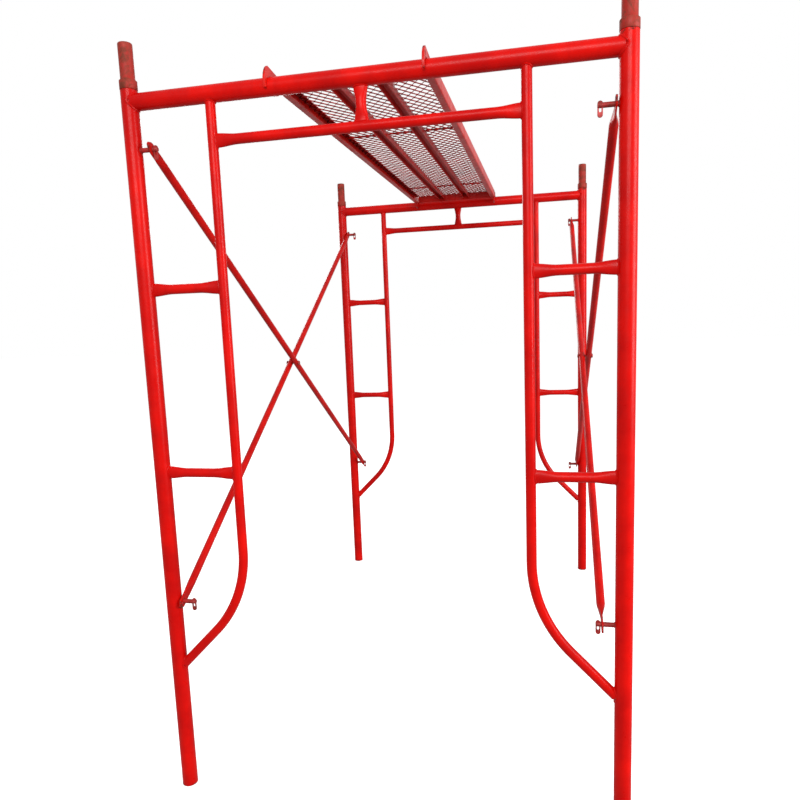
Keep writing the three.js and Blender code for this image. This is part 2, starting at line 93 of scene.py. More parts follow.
GAP = 0.3 * MM
OVERLAP = 0.4 * MM
LEG_WALL = 2.4 * MM
THIN_WALL = 2.0 * MM
BEND_RADIUS = 330 * MM
BEND_ANGLE = math.radians(45)
FOOT_Z = 357.5 * MM
PRESS_DEEPER = 1.37
PRESS_THINNER = 0.6
RUNG_PRESS = 55 * MM
POST_PRESS = 34 * MM
PIN_RADIUS = 18 * MM
PIN_WALL = 2.5 * MM
PIN_COLLAR_HEIGHT = 23 * MM
PIN_ROUNDING = 1.2 * MM

# ---- mesh building ----------------------------------------------------------------------------


class Form:
    """A mesh in the making, with how worn and how welded each vertex is."""

    def __init__(self):
        self.bm = bmesh.new()
        self.wear = self.bm.verts.layers.float.new("wear")
        self.weld = self.bm.verts.layers.float.new("weld")

    def loft(self, rings, closed=False, wear=None, weld=0.0, caps=(False, False)):
        """Faces between rings of equally many points; closed joins the last ring to the first."""
        made = []
        for index, ring in enumerate(rings):
            verts = [self.bm.verts.new(p) for p in ring]
            for v in verts:
                v[self.wear] = wear[index] if wear else 0.0
                v[self.weld] = weld
            made.append(verts)
        pairs = list(zip(made, made[1:]))
        if closed:
            pairs.append((made[-1], made[0]))
        for a, b in pairs:
            for i in range(len(a)):
                j = (i + 1) % len(a)
                self.bm.faces.new((a[i], a[j], b[j], b[i]))
        for cap, verts in zip(caps, (made[0], made[-1])):
            if cap:
                self.bm.faces.new(verts)

    def finish(self, name, body, slot, nodes=(), sharp=35, bevel=0.0):
        bm = self.bm
        bmesh.ops.recalc_face_normals(bm, faces=bm.faces)
        mesh = bpy.data.meshes.new(name)
        bm.to_mesh(mesh)
        bm.free()
        mesh.shade_smooth()
        mesh.set_sharp_from_angle(angle=math.radians(sharp))
        obj = bpy.data.objects.new(name, mesh)
        bpy.context.scene.collection.objects.link(obj)
        if bevel:
            rounding = obj.modifiers.new("rounding", "BEVEL")
            rounding.width = bevel
            rounding.segments = 2
            rounding.limit_method = "ANGLE"
            rounding.angle_limit = math.radians(40)
            rounding.harden_normals = True
        mesh.materials.append(MATERIALS[slot])
        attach(obj, body)
        if nodes:
            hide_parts(*nodes)
        return obj


def ring(centre, u, v, a, b, sides, power=2.0):
    """A superellipse of half sizes a along u and b along v."""
    points = []
    for i in range(sides):
        t = 2 * math.pi * i / sides
        c, s = math.cos(t), math.sin(t)
        x = math.copysign(abs(c) ** (2 / power), c)
        y = math.copysign(abs(s) ** (2 / power), s)
        points.append(centre + u * (a * x) + v * (b * y))
    return points


def ease(t):
    t = min(max(t, 0.0), 1.0)
    return t * t * (3 - 2 * t)


def across(direction):
    """Two unit vectors at right angles to a direction and to each other."""
    helper = Y if abs(direction.dot(Y)) < 0.9 else X
    u = direction.cross(helper).normalized()
    return u, direction.cross(u).normalized()


def open_tube(form, stations, wall, sides, lip=0.0006, wear_ends=(0.0, 0.0)):
    """A hollow tube through stations (centre, u, v, a, b), its two lips slightly rounded."""
    first, last = stations[0], stations[-1]
    start = (stations[1][0] - first[0]).normalized()
    end = (last[0] - stations[-2][0]).normalized()

    def shell(station, inset, along=Vector()):
        centre, u, v, a, b = station
        return ring(centre + along, u, v, a - inset, b - inset, sides)

    rings, wear = [], []

    def add(points, worn):
        rings.append(points)
        wear.append(worn)

    add(shell(first, lip), wear_ends[0])
    add(shell(first, 0, start * lip), wear_ends[0])
    for station in stations[1:-1]:
        add(shell(station, 0), 0.0)
    add(shell(last, 0, -end * lip), wear_ends[1])
    add(shell(last, lip), wear_ends[1])
    add(shell(last, wall - lip), wear_ends[1])
    add(shell(last, wall, -end * lip), wear_ends[1])
    for station in reversed(stations[1:-1]):
        add(shell(station, wall), 0.0)
    add(shell(first, wall, start * lip), wear_ends[0])
    add(shell(first, wall - lip), wear_ends[0])
    form.loft(rings, closed=True, wear=wear)


def straight(start, end, a, b, steps, u=None, wear_reach=0.0):
    """Stations of a straight tube; a ring sits close to each end so that wear stays near it."""
    direction = (end - start).normalized()
    if u is None:
        u, v = across(direction)
    else:
        v = direction.cross(u).normalized()
    length = (end - start).length
    at = [i / steps for i in range(steps + 1)]
    if wear_reach:
        at += [wear_reach / length, 1 - wear_reach / length]
    return [(start.lerp(end, t), u, v, a, b) for t in sorted(at)]


def seam(origin, direction, u, v, a, b, main, radius, sides):
    """The closed line where a branch tube of half sizes a, b meets a main tube's surface."""
    points = []
    for i in range(sides):
        t = 2 * math.pi * i / sides
        offset = u * (a * math.cos(t)) + v * (b * math.sin(t))
        flat_d = direction - main * direction.dot(main)
        flat_o = offset - main * offset.dot(main)
        aa = flat_d.dot(flat_d)
        bb = 2 * flat_o.dot(flat_d)
        cc = flat_o.dot(flat_o) - radius * radius
        root = math.sqrt(max(bb * bb - 4 * aa * cc, 0.0))
        points.append(origin + offset + direction * ((-bb + root) / (2 * aa)))
    return points


RIPPLE = 3.6 * MM
BEAD_STEP = 0.9 * MM


def bead(form, line, outward, size, seed, sides=8):
    """A weld bead along a closed line, with the ripples of its passes."""
    rng = random.Random(seed)
    count = len(line)
    length = sum((line[i] - line[i - 1]).length for i in range(count))
    ripples = max(6, round(length / RIPPLE))
    swell = [rng.uniform(0.85, 1.15) for _ in range(6)]
    swell.append(swell[0])
    rings = []
    for i, point in enumerate(line):
        along = (line[(i + 1) % count] - line[i - 1]).normalized()
        out = outward(point)
        out = (out - along * out.dot(along)).normalized()
        side = along.cross(out)
        turn = i / count
        sector, part = divmod(turn * 6, 1)
        fat = swell[int(sector)] * (1 - part) + swell[int(sector) + 1] * part
        wave = 1 + 0.16 * abs(math.sin(math.pi * ripples * turn)) - 0.08
        r = size * fat * wave
        rings.append(ring(point, out, side, r, r * 1.15, sides))
    form.loft(rings, closed=True, wear=[0.25] * count, weld=1.0)


def branch_bead(form, origin, direction, u, v, a, b, main, radius, size, seed):
    """The bead round a branch tube's foot on a main tube."""
    perimeter = 2 * math.pi * max(a, b)
    sides = max(48, int(perimeter / BEAD_STEP))
    line = seam(origin, direction, u, v, a, b, main, radius, sides)
    middle = sum(line, Vector()) / len(line)

    def outward(point):
        away = point - middle
        away -= direction * away.dot(direction)
        return away.normalized() + direction

    bead(form, line, outward, size, seed)


# ---- materials --------------------------------------------------------------------------------


class Nodes:
    """A short way to wire a material's nodes."""

    def __init__(self, name):
        self.material = bpy.data.materials.new(name)
        self.material.use_nodes = True
        self.tree = self.material.node_tree
        self.shader = self.tree.nodes["Principled BSDF"]

    def add(self, kind, inputs=None, **settings):
        node = self.tree.nodes.new(kind)
        for key, value in settings.items():
            setattr(node, key, value)
        for key, value in (inputs or {}).items():
            self.put(node.inputs[key], value)
        return node

    def put(self, socket, value):
        if isinstance(value, bpy.types.NodeSocket):
            self.tree.links.new(value, socket)
        else:
            socket.default_value = value

    def place(self):
        return self.add("ShaderNodeTexCoord").outputs["Object"]

    def scaled(self, vector, scale):
        return self.add("ShaderNodeMapping", {"Vector": vector, "Scale": scale}).outputs["Vector"]

    def noise(self, vector, scale, detail=3.0, roughness=0.55, distortion=0.0):
        node = self.add("ShaderNodeTexNoise", {
            "Vector": vector, "Scale": scale, "Detail": detail,
            "Roughness": roughness, "Distortion": distortion,
        })
        return node.outputs["Fac"]

    def ramp(self, value, low, high, start=0.0, end=1.0):
        node = self.add("ShaderNodeMapRange", {
            "Value": value, "From Min": low, "From Max": high, "To Min": start, "To Max": end,
        })
        return node.outputs["Result"]

    def maths(self, operation, a, b=0.0, clamp=False):
        node = self.add("ShaderNodeMath", operation=operation, use_clamp=clamp)
        self.put(node.inputs[0], a)
        self.put(node.inputs[1], b)
        return node.outputs[0]

    def mix(self, factor, a, b):
        node = self.add("ShaderNodeMix", data_type="RGBA")
        self.put(node.inputs["Factor"], factor)
        self.put(node.inputs["A"], a)
        self.put(node.inputs["B"], b)
        return node.outputs["Result"]

    def attribute(self, name):
        return self.add("ShaderNodeAttribute", attribute_name=name).outputs["Fac"]

    def bump(self, height, strength, distance, normal=None):
        node = self.add("ShaderNodeBump", {"Height": height, "Strength": strength, "Distance": distance})
        if normal is not None:
            self.put(node.inputs["Normal"], normal)
        return node.outputs["Normal"]


def shade(colour, red, other):
    """A colour with its red scaled by one factor and its green and blue by another."""
    return (colour[0] * red, colour[1] * other, colour[2] * other, 1)


def enamel(name, light, deep, worn, gloss=0.3, chips=0.5, dirt=0.25, shine=0.1):
    """Sprayed enamel on steel: uneven coat, faint runs, orange peel, and chips where it wears."""
    n = Nodes(name)
    at = n.place()
    patches = n.noise(at, 9, 4, 0.6)
    runs = n.noise(n.scaled(at, (60, 60, 5)), 1, 3, 0.6)
    colour = n.mix(n.ramp(patches, 0.35, 0.65), light, deep)
    colour = n.mix(n.ramp(runs, 0.52, 0.78, 0.0, 0.45), colour, deep)
    wear = n.attribute("wear")
    weld = n.attribute("weld")
    grit = n.noise(at, 320, 5, 0.7)
    blotch = n.noise(at, 70, 4, 0.65, 0.4)
    speckle = n.ramp(n.noise(at, 150, 6, 0.75), 0.70, 0.74)
    chipped = n.maths("ADD", wear, n.maths("MULTIPLY", speckle, 0.22))
    ragged = n.ramp(blotch, 0.3, 0.75, -0.35, 0.35)
    edge = n.ramp(n.maths("ADD", n.maths("MULTIPLY", chipped, chips), ragged), 0.34, 0.44)
    soot = n.maths("MULTIPLY", weld, n.ramp(grit, 0.4, 0.7, 0.0, 0.35))
    clouds = n.noise(n.scaled(at, (14, 14, 6)), 1, 5, 0.65)
    grime = n.maths("MULTIPLY", n.ramp(clouds, 0.5, 0.8), dirt)
    colour = n.mix(grime, colour, shade(deep, 0.55, 0.9))
    colour = n.mix(soot, colour, shade(deep, 0.6, 1.0))
    colour = n.mix(edge, colour, n.mix(n.ramp(grit, 0.35, 0.65), worn, shade(worn, 0.45, 0.4)))
    n.put(n.shader.inputs["Base Color"], colour)
    rough = n.maths("ADD", gloss, n.ramp(n.noise(at, 30, 4, 0.6), 0.3, 0.7, -0.05, 0.12))
    rough = n.maths("ADD", rough, n.maths("MULTIPLY", edge, 0.35), clamp=True)
    rough = n.maths("ADD", rough, n.maths("MULTIPLY", grime, 0.4), clamp=True)
    n.put(n.shader.inputs["Roughness"], rough)
    peel = n.bump(n.noise(at, 260, 2, 0.5), 0.16, 0.0006)
    relief = n.maths("ADD", n.noise(at, 45, 3, 0.6), n.maths("MULTIPLY", edge, -0.35))
    n.put(n.shader.inputs["Normal"], n.bump(relief, 0.22, 0.0012, peel))
    n.shader.inputs["Specular IOR Level"].default_value = shine
    n.shader.inputs["Coat Weight"].default_value = 0.05
    n.shader.inputs["Coat Roughness"].default_value = 0.15
    return n.material


def rubbed_steel(name, paint, bare, rust, gloss=0.5):
    """Old paint rubbed thin on a pin: streaks along it, rust in the low spots."""
    n = Nodes(name)
    at = n.place()
    streaks = n.noise(n.scaled(at, (240, 240, 18)), 1, 5, 0.7)
    blotch = n.noise(at, 42, 5, 0.65, 0.6)
    grit = n.noise(at, 500, 4, 0.7)
    wear = n.attribute("wear")
    rubbed = n.ramp(n.maths("ADD", n.maths("MULTIPLY", wear, 0.3), streaks), 0.55, 0.8)
    rusty = n.ramp(n.maths("ADD", n.maths("MULTIPLY", grit, 0.4), blotch), 0.66, 0.84)
    colour = n.mix(rubbed, paint, bare)
    colour = n.mix(rusty, colour, rust)
    n.put(n.shader.inputs["Base Color"], colour)
    n.put(n.shader.inputs["Metallic"], n.maths("MULTIPLY", rubbed, 0.35))
    rough = n.maths("ADD", gloss, n.ramp(blotch, 0.3, 0.7, -0.08, 0.22), clamp=True)
    n.put(n.shader.inputs["Roughness"], rough)
    fine = n.bump(grit, 0.2, 0.0006)
    n.put(n.shader.inputs["Normal"], n.bump(streaks, 0.25, 0.0009, fine))
    n.shader.inputs["Specular IOR Level"].default_value = 0.25
    return n.material


RED = (0.62, 0.0030, 0.0008, 1)
DEEP_RED = (0.45, 0.0014, 0.0008, 1)
BRACE_RED = (0.56, 0.0050, 0.0025, 1)
DEEP_BRACE_RED = (0.38, 0.0020, 0.0015, 1)
CATWALK_RED = (0.58, 0.0090, 0.0045, 1)
DEEP_CATWALK_RED = (0.42, 0.0040, 0.0025, 1)
DECK_RED = (0.36, 0.0060, 0.0050, 1)
DEEP_DECK_RED = (0.21, 0.0040, 0.0040, 1)
PRIMER = (0.22, 0.018, 0.012, 1)
MATERIALS = {
    "frame_tube": enamel("frame_enamel", RED, DEEP_RED, PRIMER),
    "cross_brace": enamel("brace_enamel", BRACE_RED, DEEP_BRACE_RED, PRIMER),
    "catwalk_frame": enamel("catwalk_enamel", CATWALK_RED, DEEP_CATWALK_RED, PRIMER, shine=0.2),
    "deck_mesh": enamel("deck_enamel", DECK_RED, DEEP_DECK_RED, PRIMER, gloss=0.4, dirt=0.3),
    "coupling_pin": rubbed_steel(
        "pin_rubbed", (0.32, 0.014, 0.008, 1), (0.27, 0.042, 0.026, 1), (0.15, 0.024, 0.010, 1)),
    "brace_lock": rubbed_steel(
        "lock_rubbed", (0.40, 0.010, 0.010, 1), (0.32, 0.045, 0.040, 1), (0.16, 0.018, 0.012, 1), 0.42),
}

# ---- frames -------------------------------------------------------------------------------------

HEADER_WELD = 2.99 * MM
SMALL_WELD = 2.1 * MM
STUD_WELD = 1.6 * MM
LEG_SIDES = 56
THIN_SIDES = 40
STUD_SIDES = 32
FOOT_WEAR = 18 * MM
TUBE_INSET = 0.6


def make_leg(label, x, y):
    form = Form()
    foot, top = Vector((x, y, 0)), Vector((x, y, LEG_TOP))
    stations = straight(foot, top, LEG_RADIUS, LEG_RADIUS, 24, X, FOOT_WEAR)
    open_tube(form, stations, LEG_WALL, LEG_SIDES, wear_ends=(1.0, 0.8))
    form.finish(f"{label}_leg_tube", ROOT, "frame_tube", [f"{label}_leg"])


def make_header(label, y):
    form = Form()
    inset = math.sqrt(LEG_RADIUS**2 - (LEG_RADIUS - LEG_WALL) ** 2)
    ends = [Vector((sx * (LEG_X - inset), y, HEADER_Z)) for sx in (-1, 1)]
    stations = straight(*ends, LEG_RADIUS, LEG_RADIUS, 20, Z)
    open_tube(form, stations, LEG_WALL, LEG_SIDES)
    for sx in (-1, 1):
        origin = Vector((sx * LEG_X, y, HEADER_Z))
        branch_bead(form, origin, -sx * X, Z, Y, LEG_RADIUS, LEG_RADIUS - OVERLAP, Z, LEG_RADIUS,
                    HEADER_WELD, f"{label}{sx}")
    form.finish(f"{label}_header_tube", ROOT, "frame_tube", [f"{label}_header"])


def pressed_stations(start, end, deep, seats, press):
    """Stations of a thin tube whose ends are pressed deeper along one direction."""
    direction = (end - start).normalized()
    length = (end - start).length
    thin = direction.cross(deep).normalized()
    marks = [0.0, *(seats[0] + press * i / 8 for i in range(9))]
    marks += [length - seats[1] - press * i / 8 for i in range(8, -1, -1)]
    marks.append(length)
    stations = []
    for mark in marks:
        pressed = 1 - ease(min(mark - seats[0], length - seats[1] - mark) / press)
        a = THIN_RADIUS * (1 + (PRESS_DEEPER - 1) * pressed)
        b = THIN_RADIUS * (1 + (PRESS_THINNER - 1) * pressed)
        stations.append((start + direction * mark, deep, thin, a, b))
    return stations


def pressed_tube(form, start, end, deep, mains, radii, press, seed):
    """A pressed tube between two main tubes, with a bead at each end."""
    direction = (end - start).normalized()
    thin = direction.cross(deep).normalized()
    inner = [start + direction * radii[0] * TUBE_INSET, end - direction * radii[1] * TUBE_INSET]
    seats = [radius * (1 - TUBE_INSET) for radius in radii]
    open_tube(form, pressed_stations(*inner, deep, seats, press), THIN_WALL, THIN_SIDES)
    a, b = THIN_RADIUS * PRESS_DEEPER, THIN_RADIUS * PRESS_THINNER
    for index, (origin, along) in enumerate(((start, direction), (end, -direction))):
        branch_bead(form, origin, along, deep, thin, a, b, mains[index], radii[index], SMALL_WELD,
                    f"{seed}{index}")


def make_lower_header(label, y):
    form = Form()
    ends = [Vector((sx * INNER_X, y, LOWER_HEADER_Z)) for sx in (-1, 1)]
    pressed_tube(form, *ends, Z, (Z, Z), (THIN_RADIUS, THIN_RADIUS), RUNG_PRESS, label)
    form.finish(f"{label}_lower_header_tube", ROOT, "frame_tube", [f"{label}_lower_header"])


def make_centre_post(label, y):
    form = Form()
    ends = Vector((0, y, LOWER_HEADER_Z)), Vector((0, y, HEADER_Z))
    pressed_tube(form, *ends, X, (X, X), (THIN_RADIUS, LEG_RADIUS), POST_PRESS, f"{label}post")
    form.finish(f"{label}_centre_post_tube", ROOT, "frame_tube", [f"{label}_centre_post"])


def make_rung(label, level, sx, y):
    form = Form()
    z = RUNG_Z[level]
    ends = Vector((sx * INNER_X, y, z)), Vector((sx * LEG_X, y, z))
    pressed_tube(form, *ends, Z, (Z, Z), (THIN_RADIUS, LEG_RADIUS), RUNG_PRESS, f"{label}{level}")
    form.finish(f"{label}_{level}_rung_tube", ROOT, "frame_tube", [f"{label}_{level}_rung"])


def make_inner_tube(label, sx, y):
    """Vertical from the header, bent 45 degrees on its way to the leg."""
    form = Form()
    tangent = BEND_RADIUS * math.tan(BEND_ANGLE / 2)
    corner_z = LEG_X + FOOT_Z - INNER_X
    middle = Vector((sx * (INNER_X + BEND_RADIUS), y, corner_z + tangent))
    foot = Vector((sx * LEG_X, y, FOOT_Z))
    centres = [Vector((sx * INNER_X, y, HEADER_Z - LEG_RADIUS * 0.7))]
    top_of_bend = Vector((sx * INNER_X, y, middle.z))
    centres += [centres[0].lerp(top_of_bend, i / 12) for i in range(1, 12)]
    steps = 24
    for i in range(steps + 1):
        turn = BEND_ANGLE * i / steps
        centres.append(middle + Vector((-sx * math.cos(turn), 0, -math.sin(turn))) * BEND_RADIUS)
    last = centres[-1]
    slant = (foot - last).normalized()
    stop = foot - slant * LEG_RADIUS * 1.25
    centres += [last.lerp(stop, i / 4) for i in range(1, 5)]
    stations = []
    for i, centre in enumerate(centres):
        before = centres[max(i - 1, 0)]
        after = centres[min(i + 1, len(centres) - 1)]
        along = (after - before).normalized()
        stations.append((centre, Y, along.cross(Y).normalized(), THIN_RADIUS, THIN_RADIUS))
    open_tube(form, stations, THIN_WALL, THIN_SIDES)
    branch_bead(form, foot, -slant, Y, slant.cross(Y).normalized(), THIN_RADIUS, THIN_RADIUS, Z, LEG_RADIUS,
                SMALL_WELD, f"{label}foot")
    head = Vector((sx * INNER_X, y, HEADER_Z))
    branch_bead(form, head, -Z, Y, X, THIN_RADIUS, THIN_RADIUS, X, LEG_RADIUS, SMALL_WELD, f"{label}head")
    form.finish(f"{label}_inner_tube_bent", ROOT, "frame_tube", [f"{label}_inner_tube"])


def make_coupling_pin(label, x, y):
    form = Form()
    seat = LEG_TOP + GAP
    collar = seat + PIN_COLLAR_HEIGHT
    r, c, w, e = PIN_RADIUS, PIN_COLLAR_RADIUS, PIN_WALL, PIN_ROUNDING
    profile = [
        (r - e, PIN_BOTTOM, 0.6), (r, PIN_BOTTOM + e, 0.4), (r, seat, 0.1),
        (c - e / 2, seat, 0.5), (c, seat + e / 2, 0.5), (c, (seat + collar) / 2, 0.1),
        (c, collar - e, 0.6), (c - e * 0.4, collar - e * 0.3, 0.8), (c - e, collar, 0.8),
        (r + 0.6 * e, collar, 0.3), (r, collar + 0.8 * e, 0.2),
        (r, collar + 20 * MM, 0.1), (r, PIN_TOP - 20 * MM, 0.3), (r, PIN_TOP - 2 * e, 0.7),
        (r - 0.4 * e, PIN_TOP - 0.8 * e, 1.0), (r - e, PIN_TOP, 1.0),
        (r - w + e / 2, PIN_TOP, 1.0), (r - w, PIN_TOP - e / 2, 0.8), (r - w, PIN_TOP - 40 * MM, 0.2),
        (r - w, PIN_BOTTOM + e, 0.2), (r - w + e / 2, PIN_BOTTOM, 0.4),
    ]
    rings = [ring(Vector((x, y, z)), X, Y, radius, radius, LEG_SIDES) for radius, z, _ in profile]
    form.loft(rings, closed=True, wear=[worn for _, _, worn in profile])
    form.finish(f"{label}_coupling_pin_turned", f"{label}_coupling_pin_body", "coupling_pin",
                [f"{label}_coupling_pin"], sharp=50)


FORK_DEPTH = 11.5 * MM
FORK_ROUNDING = 1.0 * MM
LOCK_PIN_RADIUS = 2.5 * MM
LOCK_PIN_HEAD_RADIUS = 3.1 * MM
LOCK_PIN_CROWN_RADIUS = 2.0 * MM


def make_stud(label, level, sx, y):
    """A round stud welded to the leg, its end forked round the lock and a pin peened across."""
    form = Form()
    z = STUD_Z[level]
    tip = STUD_TIP_X
    root = LEG_X - LEG_RADIUS + 2 * MM
    slot_root = LOCK_X + FORK_DEPTH
    half_slot = LOCK_THICKNESS / 2 + GAP
    e = FORK_ROUNDING
    shank = [root, root - 4 * MM, slot_root]
    rings = [ring(Vector((sx * x, y, z)), Z, Y, STUD_RADIUS, STUD_RADIUS, STUD_SIDES) for x in shank]
    form.loft(rings, wear=[0.2, 0.3, 0.6], caps=(True, True))
    for side in (-1, 1):
        stations = [
            (slot_root + OVERLAP, 0.0), (tip + e, 0.0), (tip + 0.3 * e, 0.7 * e), (tip, 1.4 * e),
        ]
        rings = []
        for x, inset in stations:
            r = STUD_RADIUS - inset
            low = half_slot + inset * 0.2
            arc = math.acos(min(low / r, 1.0))
            points = [
                Vector((sx * x, y + side * r * math.cos(t), z + r * math.sin(t)))
                for t in (arc * (i / 12 * 2 - 1) for i in range(13))
            ]
            rings.append(points)
        form.loft(rings, wear=[0.5, 0.9, 1.0, 1.0], caps=(True, True))
    pin = [
        (half_slot - OVERLAP, LOCK_PIN_RADIUS), (STUD_RADIUS * 0.93, LOCK_PIN_RADIUS),
        (STUD_RADIUS, LOCK_PIN_HEAD_RADIUS), (STUD_RADIUS * 1.1, LOCK_PIN_CROWN_RADIUS),
    ]
    spindle = [(-d, r) for d, r in reversed(pin)] + pin
    rings = [ring(Vector((sx * LOCK_X, y + d, z)), X, Z, r, r, 16) for d, r in spindle]
    form.loft(rings, wear=[1.0] * len(rings), caps=(True, True))
    branch_bead(form, Vector((sx * LEG_X, y, z)), -sx * X, Z, Y, STUD_RADIUS, STUD_RADIUS, Z, LEG_RADIUS,
                STUD_WELD, f"{label}{level}stud")
    form.finish(f"{label}_{level}_stud_forked", ROOT, "brace_lock", [f"{label}_{level}_stud"], sharp=40)


def outline_plate(form, outline, holes, thickness, place, wear=0.5):
    """A flat plate from an outline and holes in a plane; place(a, b, depth) puts points in space."""
    flat = bmesh.new()
    edges = []
    for loop in (outline, *holes):
        verts = [flat.verts.new((a, b, 0)) for a, b in loop]
        edges += [flat.edges.new((verts[i - 1], verts[i])) for i in range(len(verts))]
    filled = bmesh.ops.triangle_fill(flat, use_beauty=True, edges=edges)
    faces = [f for f in filled["geom"] if isinstance(f, bmesh.types.BMFace)]
    flat.verts.index_update()
    layers = []
    for depth in (-thickness / 2, thickness / 2):
        verts = []
        for v in flat.verts:
            made = form.bm.verts.new(place(v.co.x, v.co.y, depth))
            made[form.wear] = wear
            verts.append(made)
        layers.append(verts)
    for f in faces:
        for verts in layers:
            form.bm.faces.new([verts[v.index] for v in f.verts])
    for e in edges:
        i, j = e.verts[0].index, e.verts[1].index
        form.bm.faces.new((layers[0][i], layers[0][j], layers[1][j], layers[1][i]))
    flat.free()


def arc_points(centre, radius, start, end, steps):
    return [
        (centre[0] + radius * math.cos(t), centre[1] + radius * math.sin(t))
        for t in (math.radians(start + (end - start) * i / steps) for i in range(steps + 1))
    ]


def capsule_points(half, low, high, steps=12):
    return arc_points((0, high), half, 0, 180, steps) + arc_points((0, low), half, 180, 360, steps)


LOCK_SLOT_HALF_WIDTH = 2.8 * MM
LOCK_SLOT_LENGTH = 12 * MM


def make_lock(label, level, sx, y):
    """The swinging plate on a stud's end: round-ended, with the slot that it hangs by."""
    form = Form()
    low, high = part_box(f"{label}_{level}_lock")
    pivot = STUD_Z[level]
    half = LOCK_HALF_WIDTH
    outline = capsule_points(half, low[2] + half - pivot, high[2] - half - pivot)
    slot = capsule_points(LOCK_SLOT_HALF_WIDTH, -LOCK_SLOT_LENGTH, 0.0, 8)
    outline_plate(form, outline, [slot], LOCK_THICKNESS,
                  lambda a, b, d: Vector((sx * LOCK_X + a, y + d, pivot + b)))
    form.finish(f"{label}_{level}_lock_plate", f"{label}_{level}_lock_body", "brace_lock",
                [f"{label}_{level}_lock"], bevel=0.5 * MM)


# ---- cross braces -------------------------------------------------------------------------------

EYE_TIP = 22 * MM
EYE_ROUNDING = 17 * MM
EYE_HALF_WIDTH = 14.5 * MM
EYE_HOLE = 7 * MM
EYE_HALF_THICKNESS = 2.2 * MM
FLAT_END = 20 * MM
ROUND_START = 60 * MM
RIVET_HOLE = 4.6 * MM
RIVET_DOME = 5 * MM
HOLE_SIDES = 32


def brace_section(s):
    """Half thickness and half width of a brace at a distance from its eye, and how square it is."""
    t = ease((s - FLAT_END) / (ROUND_START - FLAT_END))
    thick = EYE_HALF_THICKNESS + (BRACE_RADIUS - EYE_HALF_THICKNESS) * t
    wide = EYE_HALF_WIDTH + (BRACE_RADIUS - EYE_HALF_WIDTH) * t**1.4
    return thick, wide, 2 + 4 * (1 - t) ** 2


def make_brace(side, reach, sx, rising):
    form = Form()
    x = sx * BRACE_X[reach]
    run, rise = 2 * FRAME_Y, STUD_Z["upper"] - STUD_Z["lower"]
    along = Vector((0, run, rise if rising else -rise)).normalized()
    wide = X.cross(along).normalized()
    length = math.hypot(run, rise)
    middle = Vector((x, 0, (STUD_Z["upper"] + STUD_Z["lower"]) / 2))
    marks = [-EYE_TIP, -EYE_TIP + 1 * MM, -18 * MM, -13 * MM, -8 * MM, 0.0, 10 * MM, FLAT_END]
    marks += [FLAT_END + (ROUND_START - FLAT_END) * i / 14 for i in range(1, 15)]
    marks += [length / 2 * i / 10 for i in range(1, 11)]
    stations = []
    for s in marks:
        thick, width, power = brace_section(s)
        if s < -2 * MM:
            rounding = min(1.0, (s + EYE_TIP) / EYE_ROUNDING)
            width *= 0.28 + 0.72 * math.sin(math.pi / 2 * rounding)
        stations.append((s, thick, width, power))
    mirrored = [(length - s, t, w, p) for s, t, w, p in reversed(stations[:-1])]
    rings = []
    wear = []
    for s, thick, width, power in stations + mirrored:
        rings.append(ring(middle + along * (s - length / 2), X, wide, thick, width, 36, power))
        near = min(s, length - s)
        wear.append(0.9 if near < -8 * MM else 0.45 if near < 12 * MM else 0.0)
    form.loft(rings, wear=wear, caps=(True, True))
    name = f"{side}_{reach}_brace_tube"
    obj = form.finish(name, f"{side}_brace_pair", "cross_brace", [f"{side}_{reach}_brace"])
    holes = ((0.0, EYE_HOLE), (length, EYE_HOLE), (length / 2, RIVET_HOLE))
    drill(obj, [(middle + along * (s - length / 2), radius) for s, radius in holes])


def drill(obj, holes):
    """Cuts round holes along X through a piece; each hole is a centre and a radius."""
    form = Form()
    for centre, radius in holes:
        ends = (centre - X * 3 * BRACE_RADIUS, centre + X * 3 * BRACE_RADIUS)
        form.loft([ring(end, Y, Z, radius, radius, HOLE_SIDES) for end in ends], caps=(True, True))
    bmesh.ops.recalc_face_normals(form.bm, faces=form.bm.faces)
    mesh = bpy.data.meshes.new("cutter")
    form.bm.to_mesh(mesh)
    form.bm.free()
    cutter = bpy.data.objects.new("cutter", mesh)
    bpy.context.scene.collection.objects.link(cutter)
    cut = obj.modifiers.new("holes", "BOOLEAN")
    cut.operation = "DIFFERENCE"
    cut.object = cutter
    cut.solver = "EXACT"
    bake_modifiers(obj)
    obj.data.set_sharp_from_angle(angle=math.radians(35))
    bpy.data.objects.remove(cutter)


def bake_modifiers(obj):
    depsgraph = bpy.context.evaluated_depsgraph_get()
    mesh = bpy.data.meshes.new_from_object(obj.evaluated_get(depsgraph))
    old = obj.data
    obj.modifiers.clear()
    obj.data = mesh
    bpy.data.meshes.remove(old)


def make_rivet(side):
    form = Form()
    centre = centre_of(f"{side}_brace_rivet")
    half = size_of(f"{side}_brace_rivet").x / 2
    seat = half - RIVET_DOME
    profile = [
        (half, 0.5 * MM), (half - 0.5 * MM, 4 * MM), (half - 1.8 * MM, 7.2 * MM),
        (half - RIVET_DOME * 0.8, 8.8 * MM), (seat, 9 * MM), (seat, 4 * MM),
    ]
    spindle = profile + [(-d, r) for d, r in reversed(profile)]
    rings = [ring(centre + X * d, Y, Z, r, r, 28) for d, r in spindle]
    form.loft(rings, wear=[0.8] * len(rings), caps=(True, True))
    form.finish(f"{side}_brace_rivet_domed", f"{side}_brace_pair", "brace_lock", [f"{side}_brace_rivet"])


# ---- catwalk, drawn straight about its own centre line and then turned a little --------------

